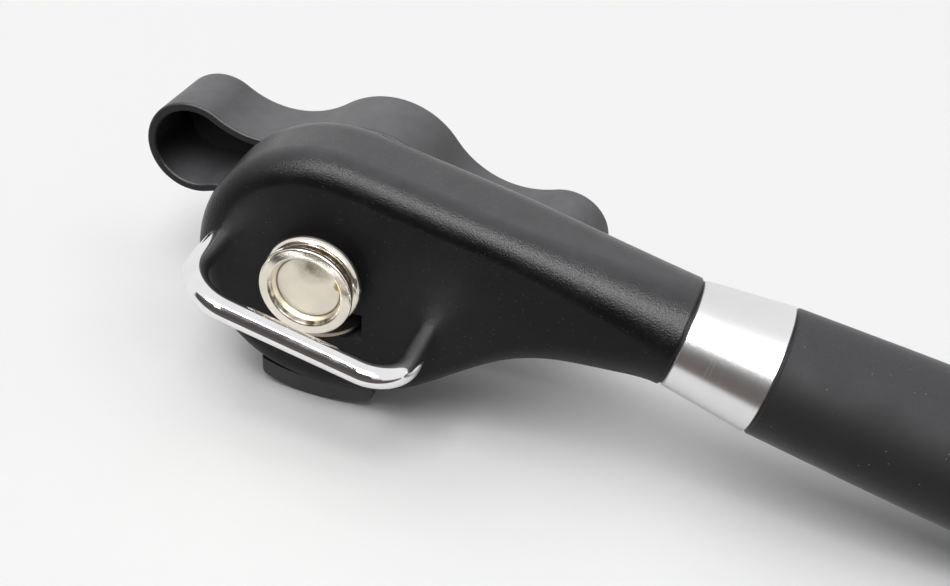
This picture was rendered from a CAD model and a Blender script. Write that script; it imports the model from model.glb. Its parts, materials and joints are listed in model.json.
import json
import math

import bpy
from mathutils import Matrix, Vector


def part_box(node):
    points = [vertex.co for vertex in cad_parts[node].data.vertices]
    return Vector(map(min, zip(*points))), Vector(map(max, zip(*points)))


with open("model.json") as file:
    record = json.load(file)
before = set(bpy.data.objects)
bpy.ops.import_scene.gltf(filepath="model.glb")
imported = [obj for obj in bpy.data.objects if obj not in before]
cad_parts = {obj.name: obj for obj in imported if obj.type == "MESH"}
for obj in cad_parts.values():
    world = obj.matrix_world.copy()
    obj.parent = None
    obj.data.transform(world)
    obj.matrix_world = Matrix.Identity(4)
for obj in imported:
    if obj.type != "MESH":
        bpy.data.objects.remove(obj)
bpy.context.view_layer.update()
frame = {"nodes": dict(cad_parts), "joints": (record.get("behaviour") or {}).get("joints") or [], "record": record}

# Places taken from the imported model, in metres
nodes = frame["nodes"]
joints = {joint["name"]: joint for joint in frame["joints"]}
knob_place = Vector(joints["knob_turn"]["pos_m"])
face_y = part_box("head_housing")[0].y
spool_centre = Vector((knob_place.x, face_y, knob_place.z))
groove_front = face_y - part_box("feed_ring")[0].y
groove_back = face_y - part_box("feed_ring")[1].y
ferrule_centre = Vector(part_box("ferrule")[0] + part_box("ferrule")[1]) / 2

# The tool lies tilted on its guard and handle end: the cutter's axis tells by how much
cutter_lean = math.radians(15.4)
handle_bend = math.radians(1.5)
cutter_axis = Vector(joints["cutter_spin"]["axis"])
rest_tilt = cutter_lean - math.atan2(cutter_axis.x, -cutter_axis.z)
handle_fall = rest_tilt - handle_bend
lay_down = Matrix.Rotation(rest_tilt, 3, "Y")

# Camera of the photograph, measured from the spool's centre on the head's face before the tilt
photo_width = 950
focal_pixels = 1450.44
sensor_width = 36.0
nearest_seen = 0.01
farthest_seen = 20.0
camera_offset = lay_down @ Vector((0.03760, -0.19020, 0.14724))
camera_forward = lay_down @ Vector((-0.0516, 0.8091, -0.5854))
camera_up = lay_down @ Vector((-0.4139, 0.5162, 0.7499))

# Studio, in metres
floor_size = 3.0
floor_white = 0.90
floor_roughness = 0.9
floor_shine = 0.1
paper_white = 0.95
soft_light = 0.26
wall_distance = 1.25
room_half_width = 1.4
window_half_width = 1.25
dark_room_top = 0.09
grey_room_top = 0.29
table_height = 0.0005
table_brown = (0.125, 0.105, 0.098)
room_grey = (0.42, 0.40, 0.39)
camera_dark = (0.085, 0.078, 0.076)
window_white = (15.5, 15.5, 15.5)
tool_middle = (-0.05, 0.0, 0.0)

# Most of a noise texture's values lie between these two
noise_low = 0.3
noise_high = 0.7

# The mix node's sockets for colours
mix_colours_in = slice(6, 8)
mix_colour_out = 2

# Colours of dust, dirt and wear
plastic_dust = (0.30, 0.29, 0.27)
rubber_dust = (0.42, 0.41, 0.39)
metal_speck = (0.25, 0.24, 0.23)
groove_grime = (0.10, 0.066, 0.043)
crease_shade = (0.22, 0.19, 0.14)
mouth_dirt = (0.036, 0.026, 0.018)
tarnish_grey = (0.24, 0.21, 0.165)
rust_brown = (0.40, 0.26, 0.07)
plastic_haze_tint = (1.0, 1.0, 1.05)
rubber_haze_tint = (1.0, 0.985, 1.09)

# Plastic is rougher where it stands upright: below this height of its normal, and by how much
side_start = 0.12
side_roughness = 0.16

# Where the feed spool is worn: distances and places round its axis, in metres
groove_radii = (0.0064, 0.0073)
crease_radii = (0.00543, 0.00560)
mouth_radii = (0.00600, 0.00652)
dish_edge = (0.0055, 0.0056)
tarnish_place = (0.0008, 0.0044)
tarnish_fade = (0.0012, 0.0041)
rust_place = (0.0051, 0.0016)
rust_fade = (0.0006, 0.0009)
rust_wobble = 0.0004
crease_strength = 0.55
dirt_roughness = 0.25
down_x = -0.31
down_z = -0.95


class Recipe:
    """A material's node tree, with short ways to add nodes and join them."""

    def __init__(self, name):
        self.material = bpy.data.materials.new(name)
        self.material.use_nodes = True
        self.tree = self.material.node_tree
        self.shader = self.tree.nodes["Principled BSDF"]
        self.place = self.node("ShaderNodeTexCoord").outputs["Object"]

    def node(self, kind, **settings):
        made = self.tree.nodes.new(kind)
        for key, value in settings.items():
            setattr(made, key, value)
        return made

    def join(self, source, target):
        self.tree.links.new(source, target)

    def set(self, **values):
        """Plain values on the shader's own sockets, by socket name with _ for spaces."""
        for key, value in values.items():
            self.shader.inputs[key.replace("_", " ")].default_value = value

    def math(self, operation, first, second):
        made = self.node("ShaderNodeMath", operation=operation)
        for socket, value in zip(made.inputs, (first, second)):
            if isinstance(value, (int, float)):
                socket.default_value = value
            else:
                self.join(value, socket)
        return made.outputs["Value"]

    def product(self, first, *others):
        for value in others:
            first = self.math("MULTIPLY", first, value)
        return first

    def spread(self, value, low, high, out_low, out_high):
        """Carry a value from one range to another, held at both ends."""
        made = self.node("ShaderNodeMapRange", clamp=True)
        made.inputs["From Min"].default_value = low
        made.inputs["From Max"].default_value = high
        made.inputs["To Min"].default_value = out_low
        made.inputs["To Max"].default_value = out_high
        self.join(value, made.inputs["Value"])
        return made.outputs["Result"]

    def vary(self, noise, out_low, out_high):
        """Carry a noise's usual range to another range."""
        return self.spread(noise, noise_low, noise_high, out_low, out_high)

    def fade(self, value, full, gone, strength=1.0):
        """A strength up to one value, falling to 0 at another."""
        return self.spread(value, full, gone, strength, 0.0)

    def band(self, value, low, high, soft):
        """1 between two values, falling to 0 over a soft edge outside them."""
        rise = self.spread(value, low - soft, low, 0.0, 1.0)
        return self.product(rise, self.fade(value, high, high + soft))

    def away(self, x, z, place_x, place_z):
        """Distance of two coordinates from a place."""
        side = self.math("SUBTRACT", x, place_x)
        height = self.math("SUBTRACT", z, place_z)
        squares = self.math("ADD", self.product(side, side), self.product(height, height))
        return self.math("SQRT", squares, 0.0)

    def part(self, vector, axis):
        made = self.node("ShaderNodeSeparateXYZ")
        self.join(vector, made.inputs["Vector"])
        return made.outputs[axis]

    def turned(self, centre, angle_y):
        """Object coordinates moved to a centre and turned about Y, so that local X is a piece's axis."""
        made = self.node("ShaderNodeMapping", vector_type="TEXTURE")
        made.inputs["Location"].default_value = centre
        made.inputs["Rotation"].default_value = (0.0, angle_y, 0.0)
        self.join(self.place, made.inputs["Vector"])
        return made.outputs["Vector"]

    def noise(self, scale, detail=2.0, roughness=0.5, vector=None):
        made = self.node("ShaderNodeTexNoise")
        made.inputs["Scale"].default_value = scale
        made.inputs["Detail"].default_value = detail
        made.inputs["Roughness"].default_value = roughness
        self.join(vector or self.place, made.inputs["Vector"])
        return made.outputs["Fac"]

    def lines(self, distance, line_size):
        """Fine lines that follow one coordinate."""
        flat = self.node("ShaderNodeCombineXYZ")
        self.join(distance, flat.inputs["X"])
        return self.noise(1.0 / line_size, detail=3.0, vector=flat.outputs["Vector"])

    def specks(self, scale, core, edge, strength):
        """Small round specks, full to their core and gone at their edge."""
        made = self.node("ShaderNodeTexVoronoi")
        made.inputs["Scale"].default_value = scale
        self.join(self.place, made.inputs["Vector"])
        return self.fade(made.outputs["Distance"], core, edge, strength)

    def drift(self, dark, light, scale, detail):
        """A colour that drifts slowly from one tone to another."""
        made = self.node("ShaderNodeValToRGB")
        ends = ((noise_low, dark), (noise_high, light))
        for element, (place, colour) in zip(made.color_ramp.elements, ends):
            element.position = place
            element.color = (*colour, 1.0)
        self.join(self.noise(scale, detail), made.inputs["Fac"])
        return made.outputs["Color"]

    def mix(self, factor, first, second):
        made = self.node("ShaderNodeMix", data_type="RGBA")
        self.join(factor, made.inputs[0])
        for socket, value in zip(made.inputs[mix_colours_in], (first, second)):
            if isinstance(value, tuple):
                socket.default_value = (*value, 1.0)
            else:
                self.join(value, socket)
        return made.outputs[mix_colour_out]

    def facing_up(self, low, high):
        """How far the surface faces up: 0 at one height of its normal, 1 at another."""
        normal = self.node("ShaderNodeTexCoord").outputs["Normal"]
        return self.spread(self.part(normal, "Z"), low, high, 0.0, 1.0)

    def settled(self, patches, start):
        """Where haze lies: it grows as the surface turns up, and is thinner in patches."""
        up = self.facing_up(start, 1.0)
        return self.product(up, up, patches)

    def colour(self, source):
        self.join(source, self.shader.inputs["Base Color"])

    def roughness(self, source):
        self.join(source, self.shader.inputs["Roughness"])

    def bump(self, height, strength, depth):
        made = self.node("ShaderNodeBump")
        made.inputs["Strength"].default_value = strength
        made.inputs["Distance"].default_value = depth
        self.join(height, made.inputs["Height"])
        self.join(made.outputs["Normal"], self.shader.inputs["Normal"])


def tinted(level, tint):
    """A grey level as a colour with a slight tint."""
    return tuple(level * share for share in tint)


def grained_plastic(name, dark, light, haze, gloss, shine, grain_size, grain_depth):
    """Moulded black plastic: a fine eroded grain, sparse dust, haze on top and upright sides duller."""
    recipe = Recipe(name)
    tone = recipe.drift(dark, light, scale=60.0, detail=3.0)
    cloudy = recipe.vary(recipe.noise(260.0, detail=4.0, roughness=0.6), out_low=0.8, out_high=1.0)
    tone = recipe.mix(recipe.settled(cloudy, start=0.3), tone, tinted(haze, plastic_haze_tint))
    dust = recipe.specks(900.0, core=0.05, edge=0.09, strength=0.25)
    recipe.colour(recipe.mix(dust, tone, plastic_dust))
    polish = recipe.vary(recipe.noise(180.0, detail=4.0), gloss - 0.04, gloss + 0.05)
    side_dulling = recipe.product(recipe.facing_up(low=side_start, high=0.0), side_roughness)
    recipe.roughness(recipe.math("ADD", polish, side_dulling))
    grain = recipe.noise(1.0 / grain_size, detail=2.0, roughness=0.6)
    recipe.bump(grain, strength=1.0, depth=grain_depth)
    recipe.set(IOR=1.5, Specular_IOR_Level=shine)
    return recipe.material


def soft_touch(name, dark, light, haze, gloss):
    """Rubbery coating: very fine grain, a soft sheen, sparse dust and a haze where it faces up."""
    recipe = Recipe(name)
    tone = recipe.drift(dark, light, scale=45.0, detail=3.0)
    fine = recipe.vary(recipe.noise(2600.0, detail=3.0), out_low=0.75, out_high=1.0)
    tone = recipe.mix(recipe.settled(fine, start=0.25), tone, tinted(haze, rubber_haze_tint))
    dust = recipe.specks(480.0, core=0.035, edge=0.055, strength=0.4)
    recipe.colour(recipe.mix(dust, tone, rubber_dust))
    recipe.roughness(recipe.vary(recipe.noise(120.0, detail=4.0), gloss - 0.05, gloss + 0.05))
    recipe.bump(recipe.noise(5200.0, detail=2.0), strength=0.8, depth=0.000006)
    recipe.set(IOR=1.46, Specular_IOR_Level=0.22, Sheen_Weight=0.45, Sheen_Roughness=0.35)
    return recipe.material


def turned_metal(name, dark, light, gloss, centre, angle_y, line_size, line_depth):
    """Metal turned on the handle's axis: fine rings across the axis, tone that drifts, small specks."""
    recipe = Recipe(name)
    along = recipe.part(recipe.turned(centre, angle_y), "X")
    rings = recipe.lines(along, line_size)
    tone = recipe.drift(dark, light, scale=70.0, detail=2.0)
    speck = recipe.specks(700.0, core=0.03, edge=0.06, strength=0.35)
    recipe.colour(recipe.mix(speck, tone, metal_speck))
    recipe.roughness(recipe.vary(rings, gloss - 0.03, gloss + 0.04))
    recipe.bump(rings, strength=0.6, depth=line_depth)
    recipe.set(Metallic=1.0)
    return recipe.material


def ringed_metal(name, dark, light, gloss, line_size, line_depth):
    """Metal turned about the spool's axis: rings by distance from that axis, with the marks of use."""
    recipe = Recipe(name)
    local = recipe.turned(spool_centre, 0.0)
    x = recipe.part(local, "X")
    y = recipe.part(local, "Y")
    z = recipe.part(local, "Z")
    radius = recipe.away(x, z, 0.0, 0.0)
    rings = recipe.lines(radius, line_size)
    tone = recipe.drift(dark, light, scale=160.0, detail=3.0)
    stains = recipe.noise(700.0, detail=4.0)
    blotch = recipe.spread(stains, low=0.35, high=0.65, out_low=0.6, out_high=1.0)

    # Brown grime in the groove
    between_flanges = recipe.band(y, -groove_front, -groove_back, soft=0.00012)
    groove = recipe.product(between_flanges, recipe.band(radius, *groove_radii, soft=0.0003))
    tone = recipe.mix(recipe.product(groove, blotch), tone, groove_grime)

    # A dark crease round the dish's floor, and dirt on the lower side of its mouth
    crease = recipe.product(recipe.band(radius, *crease_radii, soft=0.00012), crease_strength)
    tone = recipe.mix(crease, tone, crease_shade)
    down = recipe.math("ADD", recipe.product(x, down_x), recipe.product(z, down_z))
    downward = recipe.math("DIVIDE", down, radius)
    lower = recipe.spread(downward, low=0.05, high=0.55, out_low=0.0, out_high=1.0)
    mouth = recipe.product(recipe.band(radius, *mouth_radii, soft=0.00008), lower)
    tone = recipe.mix(recipe.product(mouth, blotch), tone, mouth_dirt)

    # Grey tarnish on the upper part of the dish and one small rust mark at its edge
    inside = recipe.fade(radius, *dish_edge)
    near_tarnish = recipe.fade(recipe.away(x, z, *tarnish_place), *tarnish_fade)
    smears = recipe.noise(420.0, detail=5.0, roughness=0.7)
    streaks = recipe.spread(smears, low=0.36, high=0.60, out_low=0.45, out_high=1.0)
    tone = recipe.mix(recipe.product(near_tarnish, streaks, inside), tone, tarnish_grey)
    ragged = recipe.noise(1500.0, detail=3.0)
    wobble = recipe.spread(ragged, low=0.2, high=0.8, out_low=-rust_wobble, out_high=rust_wobble)
    from_rust = recipe.math("ADD", recipe.away(x, z, *rust_place), wobble)
    rust = recipe.product(recipe.fade(from_rust, *rust_fade), inside)
    recipe.colour(recipe.mix(rust, tone, rust_brown))

    polish = recipe.vary(rings, gloss - 0.03, gloss + 0.05)
    dirt_dulling = recipe.product(recipe.math("MAXIMUM", groove, mouth), dirt_roughness)
    recipe.roughness(recipe.math("ADD", polish, dirt_dulling))
    recipe.bump(rings, strength=0.5, depth=line_depth)
    recipe.set(Metallic=1.0)
    return recipe.material


def plain_metal(name, dark, light, gloss, scratch_depth):
    """Plated or ground metal with slow tone changes and faint scuffs."""
    recipe = Recipe(name)
    recipe.colour(recipe.drift(dark, light, scale=140.0, detail=3.0))
    scuffs = recipe.noise(420.0, detail=5.0, roughness=0.7)
    recipe.roughness(recipe.spread(scuffs, low=0.35, high=0.75, out_low=gloss, out_high=gloss + 0.08))
    recipe.bump(scuffs, strength=0.4, depth=scratch_depth)
    recipe.set(Metallic=1.0)
    return recipe.material


# The look of each material slot: how it is made, and with which values
housing_look = {
    "dark": (0.0025, 0.0025, 0.0035),
    "light": (0.0045, 0.0045, 0.0055),
    "haze": 0.086,
    "gloss": 0.30,
    "shine": 0.21,
    "grain_size": 0.00028,
    "grain_depth": 0.000075,
}
guard_look = {
    "dark": (0.029, 0.029, 0.031),
    "light": (0.037, 0.037, 0.039),
    "haze": 0.055,
    "gloss": 0.36,
    "shine": 0.45,
    "grain_size": 0.0003,
    "grain_depth": 0.00002,
}
knob_look = {
    "dark": (0.005, 0.005, 0.006),
    "light": (0.008, 0.008, 0.009),
    "haze": 0.132,
    "gloss": 0.42,
    "shine": 0.28,
    "grain_size": 0.0002,
    "grain_depth": 0.000006,
}
core_look = {
    "dark": (0.026, 0.026, 0.028),
    "light": (0.034, 0.034, 0.036),
    "haze": 0.05,
    "gloss": 0.5,
    "shine": 0.5,
    "grain_size": 0.0003,
    "grain_depth": 0.00001,
}
seal_look = {
    "dark": (0.002, 0.002, 0.002),
    "light": (0.004, 0.004, 0.004),
    "haze": 0.004,
    "gloss": 0.6,
}
rubber_look = {
    "dark": (0.006, 0.006, 0.007),
    "light": (0.009, 0.009, 0.010),
    "haze": 0.067,
    "gloss": 0.68,
}
ferrule_look = {
    "dark": (0.72, 0.72, 0.72),
    "light": (0.80, 0.80, 0.80),
    "gloss": 0.24,
    "centre": ferrule_centre,
    "angle_y": handle_fall,
    "line_size": 0.00012,
    "line_depth": 0.000003,
}
spool_look = {
    "dark": (0.74, 0.69, 0.60),
    "light": (0.84, 0.79, 0.70),
    "gloss": 0.14,
    "line_size": 0.00025,
    "line_depth": 0.000002,
}
dish_look = {
    "dark": (0.785, 0.735, 0.62),
    "light": (0.885, 0.835, 0.71),
    "gloss": 0.34,
    "line_size": 0.0003,
    "line_depth": 0.000004,
}
bail_look = {
    "dark": (0.80, 0.80, 0.81),
    "light": (0.88, 0.88, 0.89),
    "gloss": 0.05,
    "scratch_depth": 0.0000006,
}
cutter_look = {
    "dark": (0.25, 0.21, 0.175),
    "light": (0.38, 0.33, 0.28),
    "gloss": 0.28,
    "scratch_depth": 0.000004,
}
axle_look = {
    "dark": (0.45, 0.44, 0.42),
    "light": (0.58, 0.57, 0.55),
    "gloss": 0.3,
    "scratch_depth": 0.000004,
}
hub_look = {
    "dark": (0.40, 0.39, 0.38),
    "light": (0.52, 0.51, 0.50),
    "gloss": 0.32,
    "scratch_depth": 0.000004,
}
screw_look = {
    "dark": (0.30, 0.30, 0.31),
    "light": (0.42, 0.42, 0.43),
    "gloss": 0.34,
    "scratch_depth": 0.000004,
}
bush_look = {
    "dark": (0.56, 0.41, 0.20),
    "light": (0.72, 0.55, 0.30),
    "gloss": 0.3,
    "scratch_depth": 0.000004,
}
looks = {
    "housing_black": (grained_plastic, housing_look),
    "cover_black": (grained_plastic, housing_look),
    "guard_black": (grained_plastic, guard_look),
    "knob_black": (grained_plastic, knob_look),
    "core_black": (grained_plastic, core_look),
    "seal_black": (soft_touch, seal_look),
    "grip_rubber": (soft_touch, rubber_look),
    "cap_rubber": (soft_touch, rubber_look),
    "ferrule_satin": (turned_metal, ferrule_look),
    "spool_nickel": (ringed_metal, spool_look),
    "dish_satin": (ringed_metal, dish_look),
    "bail_chrome": (plain_metal, bail_look),
    "cutter_steel": (plain_metal, cutter_look),
    "axle_steel": (plain_metal, axle_look),
    "hub_steel": (plain_metal, hub_look),
    "screw_steel": (plain_metal, screw_look),
    "bush_brass": (plain_metal, bush_look),
}
finishes = {slot: make(slot, **values) for slot, (make, values) in looks.items()}
for entry in frame["record"]["subparts"]:
    slots = nodes[entry["node"]].data.materials
    slots.clear()
    slots.append(finishes[entry["material_slot"]])


def show(made):
    bpy.context.scene.collection.objects.link(made)


def flat_piece(name, corners, material):
    """One flat face with a material."""
    mesh = bpy.data.meshes.new(name)
    mesh.from_pydata(corners, [], [tuple(range(len(corners)))])
    mesh.materials.append(material)
    made = bpy.data.objects.new(name, mesh)
    show(made)
    return made


def make_floor():
    """Pale matt paper that keeps the object's shadow."""
    recipe = Recipe("floor_paper")
    recipe.set(Base_Color=(floor_white, floor_white, floor_white, 1.0))
    recipe.set(Roughness=floor_roughness, Specular_IOR_Level=floor_shine)
    half = floor_size / 2
    corners = [(-half, -half, 0), (half, -half, 0), (half, half, 0), (-half, half, 0)]
    made = flat_piece("floor", corners, recipe.material)


def upright(left, right, bottom, top, distance):
    """Corners of an upright card in front of the tool."""
    return [
        (left, -distance, bottom),
        (right, -distance, bottom),
        (right, -distance, top),
        (left, -distance, top),
    ]


def make_card(name, corners, brightness):
    """A card that only reflections see."""
    material = bpy.data.materials.new(name)
    material.use_nodes = True
    tree = material.node_tree
    tree.nodes.clear()
    glow = tree.nodes.new("ShaderNodeEmission")
    glow.inputs["Color"].default_value = (*brightness, 1.0)
    out = tree.nodes.new("ShaderNodeOutputMaterial")
    tree.links.new(glow.outputs[0], out.inputs["Surface"])
    made = flat_piece(name, corners, material)
    made.visible_camera = False
    made.visible_diffuse = False
    made.visible_shadow = False
    made.visible_transmission = False


def make_lamp(name, place, aim, width, height, power):
    """A soft lamp that reflections don't see."""
    lamp = bpy.data.lights.new(name, "AREA")
    lamp.shape = "RECTANGLE"
    lamp.size = width
    lamp.size_y = height
    lamp.energy = power
    made = bpy.data.objects.new(name, lamp)
    direction = Vector(aim) - Vector(place)
    made.rotation_mode = "QUATERNION"
    made.rotation_quaternion = direction.to_track_quat("-Z", "Y")
    made.location = place
    made.visible_glossy = False
    show(made)


def make_world():
    """Near white to the camera and to reflections, a low even light on everything else."""
    world = bpy.data.worlds.new("studio")
    world.use_nodes = True
    tree = world.node_tree
    tree.nodes.clear()
    path = tree.nodes.new("ShaderNodeLightPath")
    seen = path.outputs["Is Camera Ray"]
    for kind in ("Is Transmission Ray", "Is Glossy Ray"):
        either = tree.nodes.new("ShaderNodeMath")
        either.operation = "MAXIMUM"
        tree.links.new(seen, either.inputs[0])
        tree.links.new(path.outputs[kind], either.inputs[1])
        seen = either.outputs[0]
    soft = tree.nodes.new("ShaderNodeBackground")
    soft.inputs["Color"].default_value = (1.0, 1.0, 1.0, 1.0)
    soft.inputs["Strength"].default_value = soft_light
    paper = tree.nodes.new("ShaderNodeBackground")
    paper.inputs["Color"].default_value = (paper_white, paper_white, paper_white, 1.0)
    blend = tree.nodes.new("ShaderNodeMixShader")
    tree.links.new(seen, blend.inputs["Fac"])
    tree.links.new(soft.outputs[0], blend.inputs[1])
    tree.links.new(paper.outputs[0], blend.inputs[2])
    out = tree.nodes.new("ShaderNodeOutputWorld")
    tree.links.new(blend.outputs[0], out.inputs["Surface"])
    bpy.context.scene.world = world


def make_camera():
    """The photograph's camera."""
    forward = camera_forward.normalized()
    up = (camera_up - forward * camera_up.dot(forward)).normalized()
    right = forward.cross(up)
    turn = Matrix((right, up, -forward)).transposed()
    data = bpy.data.cameras.new("photo_camera")
    data.sensor_width = sensor_width
    data.lens = focal_pixels / photo_width * sensor_width
    data.clip_start = nearest_seen
    data.clip_end = farthest_seen
    made = bpy.data.objects.new("photo_camera", data)
    made.matrix_world = Matrix.Translation(spool_centre + camera_offset) @ turn.to_4x4()
    show(made)
    bpy.context.scene.camera = made


# Cards that the metal and the black plastic reflect: the table, the room, the camera's side and a window
table_corners = [
    (-0.500, -1.2, table_height),
    (1.000, -1.2, table_height),
    (1.000, -0.026, table_height),
    (0.090, -0.026, table_height),
    (-0.500, -0.160, table_height),
]
dark_room = upright(-room_half_width, room_half_width, 0.0, dark_room_top, wall_distance)
grey_room = upright(-room_half_width, room_half_width, dark_room_top, grey_room_top, wall_distance)
camera_side = upright(left=-0.125, right=-0.035, bottom=0.0, top=0.33, distance=0.216)
camera_foot = upright(left=-0.180, right=0.060, bottom=0.0, top=0.14, distance=0.218)
left_side = upright(left=-0.600, right=-0.180, bottom=0.0, top=0.25, distance=0.260)
window = upright(-window_half_width, window_half_width, bottom=0.78, top=2.6, distance=wall_distance)
cards = [
    ("dark_table", table_corners, table_brown),
    ("dark_room", dark_room, table_brown),
    ("grey_room", grey_room, room_grey),
    ("camera_side", camera_side, camera_dark),
    ("camera_foot", camera_foot, camera_dark),
    ("left_side", left_side, camera_dark),
    ("front_window", window, window_white),
]

# Lamps: name, place, where it points, width, height, watts
lamps = [
    ("top_softbox", (-0.75, 0.30, 3.90), (-0.75, 0.30, 0.0), 8.7, 4.8, 26.0),
    ("front_softbox", (-0.05, -3.30, 5.70), tool_middle, 3.0, 3.0, 180.0),
    ("upper_softbox", (-0.05, -1.05, 3.90), tool_middle, 2.1, 2.1, 21.5),
    ("left_softbox", (-1.85, -0.15, 3.60), tool_middle, 2.1, 2.1, 23.5),
    ("right_softbox", (1.90, -0.15, 3.60), tool_middle, 2.1, 2.1, 9.0),
    ("back_softbox", (-0.05, 1.80, 3.60), tool_middle, 2.1, 2.1, 9.0),
]

make_floor()
make_world()
make_camera()
for card in cards:
    make_card(*card)
for lamp in lamps:
    make_lamp(*lamp)

bpy.context.scene.view_settings.view_transform = "Standard"
